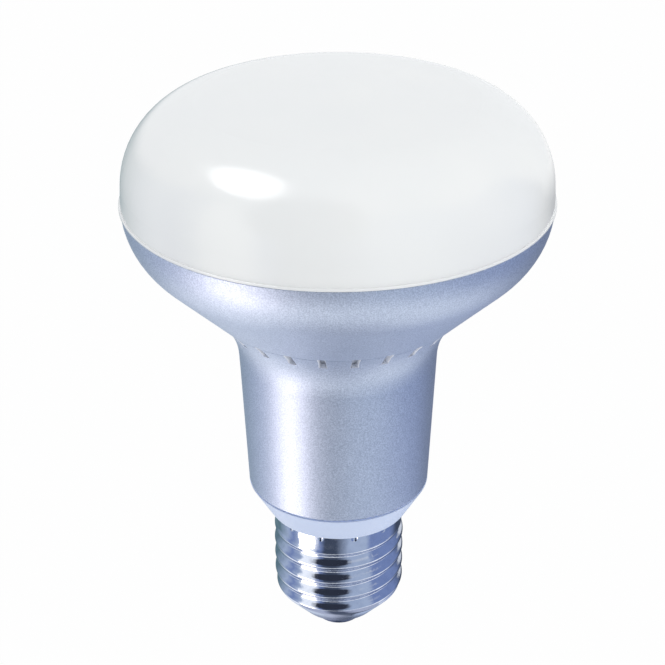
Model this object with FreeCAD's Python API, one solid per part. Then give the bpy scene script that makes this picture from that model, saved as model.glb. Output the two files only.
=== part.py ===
# Reflector lamp with a light-emitting-diode engine and a 27 mm Edison screw cap, in millimetres.
# Z is the lamp's axis. The origin is the centre of the flat bottom contact, and the dome is up.
import FreeCAD, Part
import math
import os

Vector = FreeCAD.Vector
AXIS = Vector(0, 0, 1)
CENTRE = Vector(0, 0, 0)

# Whole lamp
rim_radius = 39.8            # outside of the housing where it meets the diffuser
rim_z = 94.7
dome_height = 20.6           # above the rim
lamp_height = rim_z + dome_height

# Housing: bowl, cone, throat and neck, moulded in one
housing_wall = 1.4
rim_draft = math.radians(1.8)
bowl_radius = 15.6
cone_angle = math.radians(45.7)
throat_radius = 14.8
neck_radius = 17.9           # outside, at the neck's bottom edge
neck_draft = math.radians(2.5)
neck_z = 34.8
neck_edge_round = 0.4
rim_edge_round = 0.2
parting_line_rise = 4.5      # above the corner where the cone's and the neck's lines cross
parting_line_width = 0.2
parting_line_depth = 0.07

# Vents round the throat
vent_count = 24
vent_first = math.radians(-97.2)
vent_width = 1.25
vent_rise = 1.7              # above the same corner
vent_height = 3.15
vent_corner = 0.3
vent_side_round = 0.4        # where its two sides meet the outside

# Diffuser: an opal dome with a bead that covers the rim and a skirt that snaps inside it
dome_wall = 1.6
dome_crown_radius = 200.0
dome_shoulder_radius = 15.8
dome_inner_shoulder_radius = 13.6
dome_side_draft = math.radians(3.5)
bead_overhang = 0.28         # past the housing's rim
bead_height = 0.55
bead_round = 0.2
dome_setback = 0.3           # dome side inside the bead
skirt_gap = 0.15
skirt_wall = 1.3
skirt_height = 3.2
rim_seat_depth = 3.5         # cylindrical seat inside the housing's rim
rim_seat_wall = 1.45         # housing wall at the top of that seat
snap_count = 6
snap_span = math.radians(8.0)
snap_height = 0.9
snap_reach = 0.4
snap_drop = 1.0              # below the rim
snap_gap = 0.15

# Heat plate, with its skirt behind the vents, and light board
ledge_depth = 10.1           # below the rim
ledge_width = 2.2
plate_gap = 0.2
plate_thickness = 1.2
plate_flange_height = 4.9
skirt_below_vents = 0.5
board_edge_gap = 1.4
board_thickness = 1.6
screw_circle_radius = 13.4
screw_count = 3
screw_first = math.radians(90.0)
screw_hole_radius = 1.7
screw_shank_radius = 1.4
screw_length = 10.0
screw_tip = 1.6
screw_head_radius = 2.6
screw_head_height = 1.7
screw_cross_width = 0.7
screw_cross_depth = 0.9
led_size = (3.5, 2.8, 0.8)
led_window = (2.7, 2.0, 0.12)
led_ring_radii = (9.6, 23.0)
led_ring_counts = (6, 12)

# Inner sleeve: threaded boss, collar and the tapered tube that fills the neck
sleeve_gap = 0.3
sleeve_wall = 1.2
collar_gap = 0.1             # above the cap's top edge
collar_lip = 1.35            # past the cap's skirt
collar_line_height = 0.25    # the step that makes the dark line under the neck
collar_line_depth = 0.7
boss_wall = 1.95             # behind the thread's root
boss_bottom_z = 8.2
boss_gap = 0.15
rail_thickness = 1.0
rail_gap = 0.1
rail_reach = 1.4
post_radius = 2.8
post_height = 10.6
wire_groove_width = 1.1
wire_groove_height = 8.8
wire_slot_height = 2.4

# Screw cap
cap_bottom_z = 3.5
cap_bottom_radius = 8.1
cap_crest_radius = 13.15
cap_skirt_inset = 0.3        # inside the crest
cap_skirt_z = 24.4
cap_top_z = 28.1
cap_shoulder_slope = 0.89    # radius gained for each millimetre of height
cap_shoulder_round = 3.6
cap_wall = 0.35
thread_pitch = 3.629
thread_depth = 0.895
thread_round = 1.025
thread_groove_z = 11.4       # height of a groove at the front of the lamp
thread_start_z = (8.6, 10.4)
thread_end_z = (cap_skirt_z - 1.8, cap_skirt_z - 0.2)
dent_count = 12
dent_first = math.radians(-106.0)
dent_drop = 1.1              # below the cap's top edge
dent_radius = 0.9
dent_depth = 0.32

# Glass insulator and centre contact
glass_gap = 0.06
glass_top_z = 6.4
contact_radius = 5.05
contact_height = 2.2
contact_round = 1.1
contact_wall = 0.5
stem_radius = 1.7
stem_bore_radius = 1.15
stem_rise = 1.2              # above the glass
tack_shank_radius = 0.55
tack_head_thickness = 0.45
tack_rise = 1.0              # above the stem

# Driver board and what stands on it
driver_y = -1.0
driver_thickness = 1.2
driver_side_gap = 1.07
driver_lift = 1.7            # above the neck's bottom edge
driver_headroom = 8.6        # below the heat plate
tongue_side_gap = 1.8
tongue_lift = 4.8            # above the boss's bottom edge
lead_radius = 0.3
lead_hole_radius = 0.45
lead_tail = 1.1
stand_off = 0.3
wire_radius = 0.4
wire_hole_radius = 0.5
wire_bend = 0.65
led_lead_reach = 3.0         # bare end along the light board

# Where the pieces meet, from the sizes above
ledge_z = rim_z - ledge_depth
collar_bottom_z = cap_top_z + collar_gap
cap_skirt_radius = cap_crest_radius - cap_skirt_inset
collar_bottom_radius = cap_skirt_radius + collar_lip
boss_bore_radius = cap_crest_radius - thread_depth - cap_wall - boss_gap - boss_wall
wire_groove_top_z = boss_bottom_z + wire_groove_height
wire_slot_top_z = boss_bottom_z + wire_slot_height
dent_z = cap_top_z - dent_drop
stem_top_z = glass_top_z + stem_rise
tack_top_z = stem_top_z + tack_rise
driver_front = driver_y + driver_thickness / 2
driver_back = driver_y - driver_thickness / 2
driver_bottom_z = neck_z + driver_lift
driver_top_z = ledge_z - driver_headroom
tongue_bottom_z = boss_bottom_z + tongue_lift
tongue_width = 2 * (boss_bore_radius - tongue_side_gap)

thread_rows_per_pitch = 12
thread_columns = 24
thread_spare_columns = 4     # past the seam, so that the surface is smooth across it


def point(radius, z):
    return Vector(radius, 0, z)


def on_circle(centre, radius, angle):
    return Vector(centre[0] + radius * math.cos(angle), 0, centre[1] + radius * math.sin(angle))


class Outline:
    """Half section of a turned piece, drawn in the XZ plane and spun round the lamp's axis."""

    def __init__(self, radius, z):
        self.first = point(radius, z)
        self.last = self.first
        self.edges = []

    def line(self, radius, z):
        target = point(radius, z)
        if target.sub(self.last).Length > 1e-6:
            self.edges.append(Part.makeLine(self.last, target))
            self.last = target
        return self

    def arc(self, centre, radius, start, end):
        first = on_circle(centre, radius, start)
        self.line(first.x, first.z)
        middle = on_circle(centre, radius, (start + end) / 2)
        last = on_circle(centre, radius, end)
        self.edges.append(Part.Arc(self.last, middle, last).toShape())
        self.last = last
        return self

    def spin(self, degrees=360.0):
        self.line(self.first.x, self.first.z)
        face = Part.Face(Part.Wire(self.edges))
        return face.revolve(CENTRE, AXIS, degrees)


def disc(radius, bottom, top, x=0.0, y=0.0):
    return Part.makeCylinder(radius, top - bottom, Vector(x, y, bottom))


def block(x, y, z):
    return Part.makeBox(x[1] - x[0], y[1] - y[0], z[1] - z[0], Vector(x[0], y[0], z[0]))


def round_bar(radius, base, direction, length):
    return Part.makeCylinder(radius, length, base, direction)


def turned(shape, angle):
    copy = shape.copy()
    copy.rotate(CENTRE, AXIS, math.degrees(angle))
    return copy


def ring_angles(count, first=0.0):
    return [first + 2 * math.pi * i / count for i in range(count)]


def fused(shapes):
    return shapes[0].multiFuse(shapes[1:]).removeSplitter()


def save(name, shape):
    solids = shape.Solids
    result = solids[0] if len(solids) == 1 else Part.makeCompound(solids)
    assert solids and result.isValid(), name
    result.exportStep("parts/" + name + ".step")
    print(f"{name}: {len(solids)} solid(s), {result.Volume:.1f} mm3")


# The housing's section, kept as centres and angles so that any inset of it is drawn the same way
bowl_centre = (rim_radius - bowl_radius * math.cos(rim_draft), rim_z + bowl_radius * math.sin(rim_draft))
bowl_end = on_circle(bowl_centre, bowl_radius, -cone_angle)
neck_slope = math.tan(neck_draft)
cone_slope = math.tan(cone_angle)
throat_corner_z = ((neck_radius - neck_slope * neck_z) - (bowl_end.x - cone_slope * bowl_end.z)) / (
    cone_slope - neck_slope)
throat_corner = (neck_radius + neck_slope * (throat_corner_z - neck_z), throat_corner_z)
throat_tangent = throat_radius * math.tan((cone_angle - neck_draft) / 2)
throat_start = (throat_corner[0] + throat_tangent * math.sin(cone_angle),
                throat_corner[1] + throat_tangent * math.cos(cone_angle))
throat_centre = (throat_start[0] + throat_radius * math.cos(cone_angle),
                 throat_start[1] - throat_radius * math.sin(cone_angle))


def bowl_angle(inset, z):
    return math.asin((z - bowl_centre[1]) / (bowl_radius - inset))


def neck_radius_at(inset, z):
    return neck_radius + neck_slope * (z - neck_z) - inset / math.cos(neck_draft)


def housing_radius(inset, z):
    """Radius of the housing's outside, or of an inset of it, at height z."""
    if z >= bowl_centre[1] - (bowl_radius - inset) * math.sin(cone_angle):
        return bowl_centre[0] + (bowl_radius - inset) * math.cos(bowl_angle(inset, z))
    if z >= throat_centre[1] + (throat_radius + inset) * math.sin(cone_angle):
        return bowl_end.x + cone_slope * (z - bowl_end.z) - inset / math.cos(cone_angle)
    if z >= throat_centre[1] + (throat_radius + inset) * math.sin(neck_draft):
        rise = z - throat_centre[1]
        return throat_centre[0] - math.sqrt((throat_radius + inset) ** 2 - rise ** 2)
    return neck_radius_at(inset, z)


def follow_housing(outline, inset, top, bottom, upward=False):
    """Adds the housing's section at an inset, between two heights, to an outline."""
    bowl = (bowl_centre, bowl_radius - inset, bowl_angle(inset, top), -cone_angle)
    throat = (throat_centre, throat_radius + inset, math.pi - cone_angle, math.pi - neck_draft)
    if upward:
        outline.line(neck_radius_at(inset, bottom), bottom)
        outline.arc(throat[0], throat[1], throat[3], throat[2])
        outline.arc(bowl[0], bowl[1], bowl[3], bowl[2])
    else:
        outline.arc(*bowl)
        outline.arc(*throat)
        outline.line(neck_radius_at(inset, bottom), bottom)
    return outline


rim_seat_radius = rim_radius - rim_seat_wall
rim_seat_z = rim_z - rim_seat_depth
parting_line_z = throat_corner_z + parting_line_rise
vent_bottom_z = throat_corner_z + vent_rise
vent_top_z = vent_bottom_z + vent_height
ledge_inner = housing_radius(housing_wall, ledge_z) - ledge_width


def make_vent_mouth():
    """What the rounded sides of a vent take away, drawn flat and drawn out along the housing's slope."""
    face_x = housing_radius(0, vent_bottom_z)
    far_x = face_x + 1
    start_x = face_x - vent_side_round
    half = vent_width / 2
    wide = half + vent_side_round
    step = vent_side_round * math.sqrt(0.5)
    left = Part.Arc(Vector(face_x, -wide, 0), Vector(start_x + step, step - wide, 0),
                    Vector(start_x, -half, 0))
    right = Part.Arc(Vector(start_x, half, 0), Vector(start_x + step, wide - step, 0),
                     Vector(face_x, wide, 0))
    corners = [Vector(face_x, wide, 0), Vector(far_x, wide, 0), Vector(far_x, -wide, 0),
               Vector(face_x, -wide, 0)]
    back = Part.makeLine(Vector(start_x, -half, 0), Vector(start_x, half, 0))
    edges = [left.toShape(), back, right.toShape()]
    edges += [Part.makeLine(a, b) for a, b in zip(corners, corners[1:])]
    mouth = Part.Face(Part.Wire(edges))
    mouth.translate(Vector(0, 0, vent_bottom_z))
    return mouth.extrude(Vector(housing_radius(0, vent_top_z) - face_x, 0, vent_height))


def make_housing():
    turn = rim_edge_round
    outline = Outline(rim_seat_radius, rim_z)
    outline.line(rim_radius - turn, rim_z)
    outline.line(housing_radius(0, rim_z - turn), rim_z - turn)
    follow_housing(outline, 0, rim_z - turn, neck_z + neck_edge_round)
    edge_z = neck_z + neck_edge_round
    outline.arc((neck_radius_at(0, edge_z) - neck_edge_round, edge_z), neck_edge_round, 0, -math.pi / 2)
    follow_housing(outline, housing_wall, rim_seat_z, neck_z, upward=True)
    outline.line(rim_seat_radius, rim_seat_z)
    body = outline.spin()

    inner_wall = housing_radius(housing_wall * 0.5, ledge_z)
    ledge = Outline(ledge_inner, ledge_z).line(inner_wall, ledge_z)
    ledge.line(housing_radius(housing_wall * 0.5, ledge_z - ledge_width), ledge_z - ledge_width)
    ledge.line(ledge_inner, ledge_z - ledge_width * 0.9)
    body = body.fuse(ledge.spin())

    snap_top = rim_z - snap_drop + snap_gap
    groove_radius = rim_seat_radius - skirt_gap + snap_reach + snap_gap
    groove = Outline(rim_seat_radius - 0.5, snap_top).line(groove_radius, snap_top)
    groove.line(groove_radius, snap_top - snap_height - snap_gap)
    groove.line(rim_seat_radius - 0.5, snap_top - snap_height - snap_gap)

    # The shallow line left where the two halves of the mould part, square to the cone
    line_radius = housing_radius(0, parting_line_z)
    along = (math.sin(cone_angle) * parting_line_width / 2, math.cos(cone_angle) * parting_line_width / 2)
    inward = (-math.cos(cone_angle) * parting_line_depth, math.sin(cone_angle) * parting_line_depth)
    line = Outline(line_radius - inward[0] + along[0], parting_line_z - inward[1] + along[1])
    line.line(line_radius + inward[0] + along[0], parting_line_z + inward[1] + along[1])
    line.line(line_radius + inward[0] - along[0], parting_line_z + inward[1] - along[1])
    line.line(line_radius - inward[0] - along[0], parting_line_z - inward[1] - along[1])
    body = body.cut(Part.makeCompound([groove.spin(), line.spin()]))

    vent = block((housing_radius(housing_wall, vent_bottom_z) - 3, housing_radius(0, vent_top_z) + 1),
                 (-vent_width / 2, vent_width / 2), (vent_bottom_z, vent_top_z))
    corners = [edge for edge in vent.Edges if edge.BoundBox.XLength > edge.BoundBox.ZLength + 1
               and edge.BoundBox.YLength < 0.01]
    vent = vent.makeFillet(vent_corner, corners).fuse(make_vent_mouth())
    vents = [turned(vent, angle) for angle in ring_angles(vent_count, vent_first)]
    return body.cut(Part.makeCompound(vents)).removeSplitter()


def dome_curve(outline, apex_z, crown_radius, shoulder_radius, side_radius, side_z, upward=False):
    """Crown, shoulder and side of the dome, each tangent to the next, between axis and side."""
    crown_centre = (0.0, apex_z - crown_radius)
    slope = (-math.sin(dome_side_draft), math.cos(dome_side_draft))
    base = (side_radius - shoulder_radius * math.cos(dome_side_draft),
            side_z - shoulder_radius * math.sin(dome_side_draft))
    reach = crown_radius - shoulder_radius
    half = base[0] * slope[0] + (base[1] - crown_centre[1]) * slope[1]
    rest = base[0] ** 2 + (base[1] - crown_centre[1]) ** 2 - reach ** 2
    travel = -half + math.sqrt(half ** 2 - rest)
    centre = (base[0] + travel * slope[0], base[1] + travel * slope[1])
    meet = math.atan2(centre[1] - crown_centre[1], centre[0])
    if upward:
        outline.arc(centre, shoulder_radius, dome_side_draft, meet)
        outline.arc(crown_centre, crown_radius, meet, math.pi / 2)
    else:
        outline.arc(crown_centre, crown_radius, math.pi / 2, meet)
        outline.arc(centre, shoulder_radius, meet, dome_side_draft)
        outline.line(side_radius, side_z)
    return outline


def make_diffuser():
    bead_radius = rim_radius + bead_overhang
    bead_top = rim_z + bead_height
    skirt_outer = rim_seat_radius - skirt_gap
    skirt_inner = skirt_outer - skirt_wall
    skirt_bottom = rim_z - skirt_height
    outline = Outline(0, lamp_height)
    dome_curve(outline, lamp_height, dome_crown_radius, dome_shoulder_radius,
               bead_radius - dome_setback, bead_top)
    outline.line(bead_radius - bead_round, bead_top)
    outline.arc((bead_radius - bead_round, bead_top - bead_round), bead_round, math.pi / 2, 0)
    outline.arc((bead_radius - bead_round, rim_z + bead_round), bead_round, 0, -math.pi / 2)
    outline.line(skirt_outer, rim_z)
    outline.line(skirt_outer, skirt_bottom + 0.4)
    outline.line(skirt_outer - 0.3, skirt_bottom)
    outline.line(skirt_inner, skirt_bottom)
    dome_curve(outline, lamp_height - dome_wall, dome_crown_radius - dome_wall,
               dome_inner_shoulder_radius, skirt_inner, skirt_bottom, upward=True)
    body = outline.spin()
    top = rim_z - snap_drop
    barb = Outline(skirt_outer - 0.4, top).line(skirt_outer + snap_reach, top)
    barb.line(skirt_outer + snap_reach, top - snap_height * 0.5)
    barb.line(skirt_outer - 0.4, top - snap_height)
    barb = barb.spin(math.degrees(snap_span))
    barbs = [turned(barb, angle) for angle in ring_angles(snap_count)]
    return fused([body] + barbs)


plate_top_z = ledge_z + plate_thickness
board_top_z = plate_top_z + board_thickness
board_radius = housing_radius(housing_wall + plate_gap + plate_thickness, plate_top_z) - board_edge_gap
screw_places = [(screw_circle_radius * math.cos(a), screw_circle_radius * math.sin(a))
                for a in ring_angles(screw_count, screw_first)]
led_wire_places = ((9.0, 4.4), (4.4, 4.4))
led_wire_hole_radius = 1.0


def board_holes(bottom, top):
    holes = [disc(screw_hole_radius, bottom - 1, top + 1, x, y) for x, y in screw_places]
    holes += [disc(led_wire_hole_radius, bottom - 1, top + 1, x, y) for x, y in led_wire_places]
    return Part.makeCompound(holes)


def throat_angle(inset, z):
    return math.pi - math.asin((z - throat_centre[1]) / (throat_radius + inset))


def cone_height(inset, radius):
    """Height at which an inset of the housing's cone has this radius."""
    return bowl_end.z + (radius + inset / math.cos(cone_angle) - bowl_end.x) / cone_slope


def make_heat_plate():
    """Cast dish under the light board, with a skirt that follows the housing down past the vents."""
    outer = housing_wall + plate_gap
    inner = outer + plate_thickness
    flange_top = ledge_z + plate_flange_height
    skirt_bottom_z = vent_bottom_z - skirt_below_vents
    skirt_radius = ledge_inner - plate_gap
    core_radius = skirt_radius - plate_thickness
    throat_top = math.pi - cone_angle
    outline = Outline(0, ledge_z).line(core_radius, ledge_z)
    outline.line(core_radius, cone_height(inner, core_radius))
    outline.arc(throat_centre, throat_radius + inner, throat_top, throat_angle(inner, skirt_bottom_z))
    outline.arc(throat_centre, throat_radius + outer, throat_angle(outer, skirt_bottom_z), throat_top)
    outline.line(skirt_radius, cone_height(outer, skirt_radius)).line(skirt_radius, ledge_z)
    outline.arc(bowl_centre, bowl_radius - outer, bowl_angle(outer, ledge_z), bowl_angle(outer, flange_top))
    outline.arc(bowl_centre, bowl_radius - inner, bowl_angle(inner, flange_top),
                bowl_angle(inner, plate_top_z))
    outline.line(0, plate_top_z)
    return outline.spin().cut(board_holes(ledge_z, plate_top_z))


def make_led_board():
    return disc(board_radius, plate_top_z, board_top_z).cut(board_holes(plate_top_z, board_top_z))


def make_led(radius, angle):
    length, width, height = led_size
    window_length, window_width, window_depth = led_window
    body = block((-length / 2, length / 2), (-width / 2, width / 2), (0, height))
    window = block((-window_length / 2, window_length / 2), (-window_width / 2, window_width / 2),
                   (height - window_depth, height + 1))
    notch = block((length / 2 - 0.3, length), (width / 2 - 0.3, width), (height - 0.3, height + 1))
    body = body.cut(Part.makeCompound([window, notch]))
    body.translate(Vector(radius, 0, board_top_z))
    return turned(body, angle)


def make_board_screws():
    shank = Outline(0, board_top_z - screw_length)
    shank.line(screw_shank_radius, board_top_z - screw_length + screw_tip)
    shank.line(screw_shank_radius, board_top_z).line(screw_head_radius, board_top_z)
    shank.line(screw_head_radius, board_top_z + screw_head_height * 0.5)
    shank.line(screw_head_radius * 0.72, board_top_z + screw_head_height)
    shank.line(0, board_top_z + screw_head_height)
    screw = shank.spin()
    arm = screw_head_radius * 0.62
    half = screw_cross_width / 2
    depth = (board_top_z + screw_head_height - screw_cross_depth, board_top_z + screw_head_height + 1)
    cross = block((-arm, arm), (-half, half), depth).fuse(block((-half, half), (-arm, arm), depth))
    screw = screw.cut(cross)
    copies = []
    for x, y in screw_places:
        copy = screw.copy()
        copy.translate(Vector(x, y, 0))
        copies.append(copy)
    return Part.makeCompound(copies)


def flank_angle():
    """Angle at which the crest's arc hands over to the groove's arc, for the thread's depth."""
    low, high = 0.0, math.asin(thread_pitch / 4 / thread_round)
    for _ in range(50):
        angle = (low + high) / 2
        run = thread_pitch / 2 - 2 * thread_round * math.sin(angle)
        depth = 2 * thread_round * (1 - math.cos(angle)) + run * math.tan(angle)
        low, high = (angle, high) if depth < thread_depth else (low, angle)
    return angle


thread_flank = flank_angle()


def thread_drop(z, angle):
    """How far a rolled knuckle thread lies below its crest, at one height and one angle round."""
    turns = (z - thread_groove_z) / thread_pitch - (angle + math.pi / 2) / (2 * math.pi)
    from_groove = abs(turns - round(turns)) * thread_pitch
    arc_run = thread_round * math.sin(thread_flank)
    from_crest = thread_pitch / 2 - from_groove
    if from_crest <= arc_run:
        return thread_round - math.sqrt(thread_round ** 2 - from_crest ** 2)
    if from_groove <= arc_run:
        return thread_depth - thread_round + math.sqrt(thread_round ** 2 - from_groove ** 2)
    crest_drop = thread_round * (1 - math.cos(thread_flank))
    return crest_drop + (from_crest - arc_run) * math.tan(thread_flank)


def ease(value, span):
    share = min(1.0, max(0.0, (value - span[0]) / (span[1] - span[0])))
    return share * share * (3 - 2 * share)


def cap_radius(z, angle):
    """Outside of the screw cap: shoulder cone, rolled thread that fades at both ends, and skirt."""
    slope_angle = math.atan(cap_shoulder_slope)
    corner_z = cap_bottom_z + (cap_crest_radius - cap_bottom_radius) / cap_shoulder_slope
    tangent = cap_shoulder_round * math.tan(slope_angle / 2)
    if z < corner_z - tangent * math.cos(slope_angle):
        envelope = cap_bottom_radius + cap_shoulder_slope * (z - cap_bottom_z)
    elif z < corner_z + tangent:
        up = corner_z + tangent - z
        envelope = cap_crest_radius - cap_shoulder_round + math.sqrt(cap_shoulder_round ** 2 - up ** 2)
    else:
        envelope = cap_crest_radius
    skirt_share = ease(z, thread_end_z)
    envelope -= skirt_share * (cap_crest_radius - cap_skirt_radius)
    strength = ease(z, thread_start_z) * (1 - skirt_share)
    return envelope - strength * thread_drop(z, angle)


def threaded_face(inset, bottom, top):
    """The cap's outside, or an inset of it, as one spline surface between two heights."""
    rows = round((top - bottom) / thread_pitch * thread_rows_per_pitch)
    grid = []
    for i in range(rows + 1):
        z = bottom + (top - bottom) * i / rows
        row = []
        for j in range(-thread_spare_columns, thread_columns + thread_spare_columns + 1):
            angle = 2 * math.pi * (j % thread_columns) / thread_columns
            radius = cap_radius(z, angle) - inset
            row.append(Vector(radius * math.cos(angle), radius * math.sin(angle), z))
        grid.append(row)
    surface = Part.BSplineSurface()
    surface.interpolate(grid)
    heights = surface.getUKnots()
    angles = surface.getVKnots()
    surface.segment(heights[0], heights[-1], angles[thread_spare_columns],
                    angles[thread_spare_columns + thread_columns])
    surface.setVPeriodic()
    return surface.toShape()


def end_wire(face, z):
    edges = [e for e in face.Edges if e.BoundBox.ZLength < 1e-4 and abs(e.BoundBox.ZMin - z) < 1e-3]
    return Part.Wire(edges)


def ring_face(outer, inner):
    return Part.makeFace([outer, inner], "Part::FaceMakerBullseye")


def closed_solid(faces):
    skin = Part.makeShell(faces)
    skin.sewShape(0.002)
    solid = Part.makeSolid(skin.Shells[0])
    if solid.Volume < 0:
        solid.reverse()
    return solid


def dents(grow):
    """Punched dents that lock the cap to the sleeve: balls sunk into the skirt from outside."""
    ball = Part.makeSphere(dent_radius + grow,
                           Vector(cap_skirt_radius - dent_depth + dent_radius, 0, dent_z))
    return [turned(ball, angle) for angle in ring_angles(dent_count, dent_first)]


def make_screw_shell():
    outer = threaded_face(0, cap_bottom_z, cap_top_z)
    inner = threaded_face(cap_wall, cap_bottom_z, cap_top_z)
    rings = [ring_face(end_wire(outer, z), end_wire(inner, z)) for z in (cap_bottom_z, cap_top_z)]
    shell = closed_solid([outer, inner] + rings)
    middle = disc(cap_skirt_radius - cap_wall / 2, cap_skirt_z, cap_top_z)
    pressed = Part.makeCompound(dents(cap_wall)).common(middle)
    return shell.multiFuse(pressed.Solids).cut(Part.makeCompound(dents(0)))


collar_top_z = neck_z - collar_line_height
sleeve_top_z = ledge_z
wire_groove_bed = cap_crest_radius - thread_depth - cap_wall - boss_gap - 2 * wire_radius


def sleeve_outer(z):
    return neck_radius_at(housing_wall + sleeve_gap, z)


def sleeve_inner(z):
    return sleeve_outer(z) - sleeve_wall


driver_width = 2 * (sleeve_inner(driver_bottom_z) - driver_side_gap)


def make_inner_sleeve():
    boss_inset = cap_wall + boss_gap
    boss_radius = cap_skirt_radius - boss_inset
    cone_top_z = collar_top_z + sleeve_wall
    cone_bottom_z = collar_bottom_z + sleeve_wall
    outline = Outline(boss_bore_radius, cap_skirt_z - 0.4).line(boss_radius, cap_skirt_z - 0.4)
    outline.line(boss_radius, collar_bottom_z).line(collar_bottom_radius, collar_bottom_z)
    outline.line(neck_radius, collar_top_z).line(neck_radius - collar_line_depth, collar_top_z)
    outline.line(neck_radius - collar_line_depth, neck_z)
    outline.line(sleeve_outer(neck_z), neck_z).line(sleeve_outer(sleeve_top_z), sleeve_top_z)
    outline.line(sleeve_inner(sleeve_top_z), sleeve_top_z).line(sleeve_inner(cone_top_z), cone_top_z)
    outline.line(boss_bore_radius, cone_bottom_z)
    tube = outline.spin()

    # The boss carries the same thread as the cap, and stays a little under it at the top
    thread = threaded_face(boss_inset + 0.1, boss_bottom_z, cap_skirt_z)
    caps = [Part.Face(end_wire(thread, z)) for z in (boss_bottom_z, cap_skirt_z)]
    boss = closed_solid([thread] + caps).cut(disc(boss_bore_radius, boss_bottom_z - 1, cap_skirt_z + 1))

    room = Outline(0, cone_top_z).line(sleeve_inner(cone_top_z) + sleeve_wall / 2, cone_top_z)
    room.line(sleeve_inner(sleeve_top_z) + sleeve_wall / 2, sleeve_top_z).line(0, sleeve_top_z)
    room = room.spin()
    ribs = []
    rail_inner = driver_width / 2 - rail_reach
    far = sleeve_outer(sleeve_top_z)
    for side in (-1, 1):
        x = sorted((side * rail_inner, side * far))
        front = (driver_front + rail_gap, driver_front + rail_gap + rail_thickness)
        back = (driver_back - rail_gap - rail_thickness, driver_back - rail_gap)
        ribs.append(block(x, front, (cone_top_z, driver_top_z)))
        ribs.append(block(x, back, (cone_top_z, driver_top_z)))
        ribs.append(block(x, (back[0], front[1]), (cone_top_z, driver_bottom_z)))
    post_bottom = sleeve_top_z - post_height
    for angle in ring_angles(screw_count, screw_first):
        post = disc(post_radius, post_bottom, sleeve_top_z, screw_circle_radius)
        web = block((screw_circle_radius, far), (-rail_thickness, rail_thickness),
                    (post_bottom, sleeve_top_z))
        ribs.append(turned(post.fuse(web), angle))
    ribs = [rib.common(room) for rib in ribs]
    body = fused([tube, boss] + ribs)

    holes = [disc(screw_shank_radius, board_top_z - screw_length, sleeve_top_z + 1, x, y)
             for x, y in screw_places]
    groove = block((-wire_groove_width / 2, wire_groove_width / 2), (-cap_crest_radius, -wire_groove_bed),
                   (boss_bottom_z - 1, wire_groove_top_z))
    slot = block((-wire_groove_width / 2, wire_groove_width / 2), (-cap_crest_radius, 1 - boss_bore_radius),
                 (boss_bottom_z - 1, wire_slot_top_z))
    return body.cut(Part.makeCompound(holes + [groove, slot] + dents(cap_wall + boss_gap)))


def make_cap_insulator():
    """Black glass cast into the bottom of the cap, round the contact and its stem."""
    inset = cap_wall + glass_gap
    outline = Outline(stem_radius + glass_gap, contact_wall + glass_gap)
    outline.line(contact_radius - contact_wall - glass_gap - contact_round * 0.5, contact_wall + glass_gap)
    outline.line(contact_radius - contact_wall - glass_gap, contact_wall + glass_gap + contact_round * 0.5)
    outline.line(contact_radius - contact_wall - glass_gap, contact_height)
    outline.line(contact_radius + 0.3, contact_height + glass_gap)
    outline.line(cap_radius(cap_bottom_z, 0) - inset, cap_bottom_z)
    outline.line(cap_radius(glass_top_z, 0) - inset, glass_top_z)
    outline.line(stem_radius + glass_gap, glass_top_z)
    return outline.spin()


def make_centre_contact():
    edge = contact_radius - contact_round
    inner_round = contact_round - contact_wall
    outline = Outline(stem_bore_radius, 0).line(edge, 0)
    outline.arc((edge, contact_round), contact_round, -math.pi / 2, 0)
    outline.line(contact_radius, contact_height).line(contact_radius - contact_wall, contact_height)
    outline.arc((edge, contact_round), inner_round, 0, -math.pi / 2)
    outline.line(stem_radius, contact_wall).line(stem_radius, stem_top_z)
    outline.line(stem_bore_radius, stem_top_z)
    return outline.spin()


def make_contact_tack():
    outline = Outline(0, 0).line(stem_bore_radius - glass_gap, 0)
    outline.line(stem_bore_radius - glass_gap, tack_head_thickness)
    outline.line(tack_shank_radius, tack_head_thickness)
    outline.line(tack_shank_radius, tack_top_z - 0.8).line(0, tack_top_z)
    return outline.spin()


def bent_wire(route, radius, bend):
    """A wire along straight runs joined by tangent arcs."""
    points = [Vector(*p) for p in route]
    edges = []
    here = points[0]
    for before, corner, after in zip(points, points[1:], points[2:]):
        back = (before - corner).normalize()
        ahead = (after - corner).normalize()
        half = back.getAngle(ahead) / 2
        reach = bend / math.tan(half)
        start = corner + back * reach
        end = corner + ahead * reach
        middle = corner + (back + ahead).normalize() * (bend / math.sin(half) - bend)
        edges.append(Part.makeLine(here, start))
        edges.append(Part.Arc(start, middle, end).toShape())
        here = end
    edges.append(Part.makeLine(here, points[-1]))
    path = Part.Wire(edges)
    section = Part.Wire(Part.makeCircle(radius, points[0], points[1] - points[0]))
    return path.makePipeShell([section], True, False)


# Where each component stands on the driver board, and the pitch of its leads
fuse_x, fuse_z, fuse_pitch = -3.5, tongue_bottom_z + 9.5, 14.0
film_x, film_z, film_pitch = -9.0, driver_bottom_z + 7.0, 7.5
varistor_x, varistor_z, varistor_pitch = 9.6, driver_bottom_z + 6.0, 5.0
choke_x, choke_z, choke_pitch = 0.8, driver_bottom_z + 7.0, 5.0
input_x, input_z, input_pitch = -6.2, driver_bottom_z + 20.0, 3.5
output_x, output_z, output_pitch = -7.2, driver_bottom_z + 32.0, 2.5
transformer_x, transformer_z = 5.4, driver_bottom_z + 20.0
bridge_x, bridge_z = 1.5, driver_bottom_z - 7.5
chip_x, chip_z = -3.5, driver_bottom_z + 13.9
diode_x, diode_z = 8.5, driver_bottom_z + 30.0
input_can = (4.0, 11.2)      # radius and height
output_can = (3.15, 10.5)
bridge_size = (4.2, 4.8, 2.4)
chip_size = (3.9, 4.9, 1.6)
diode_size = (4.4, 2.7, 2.1)
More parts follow.
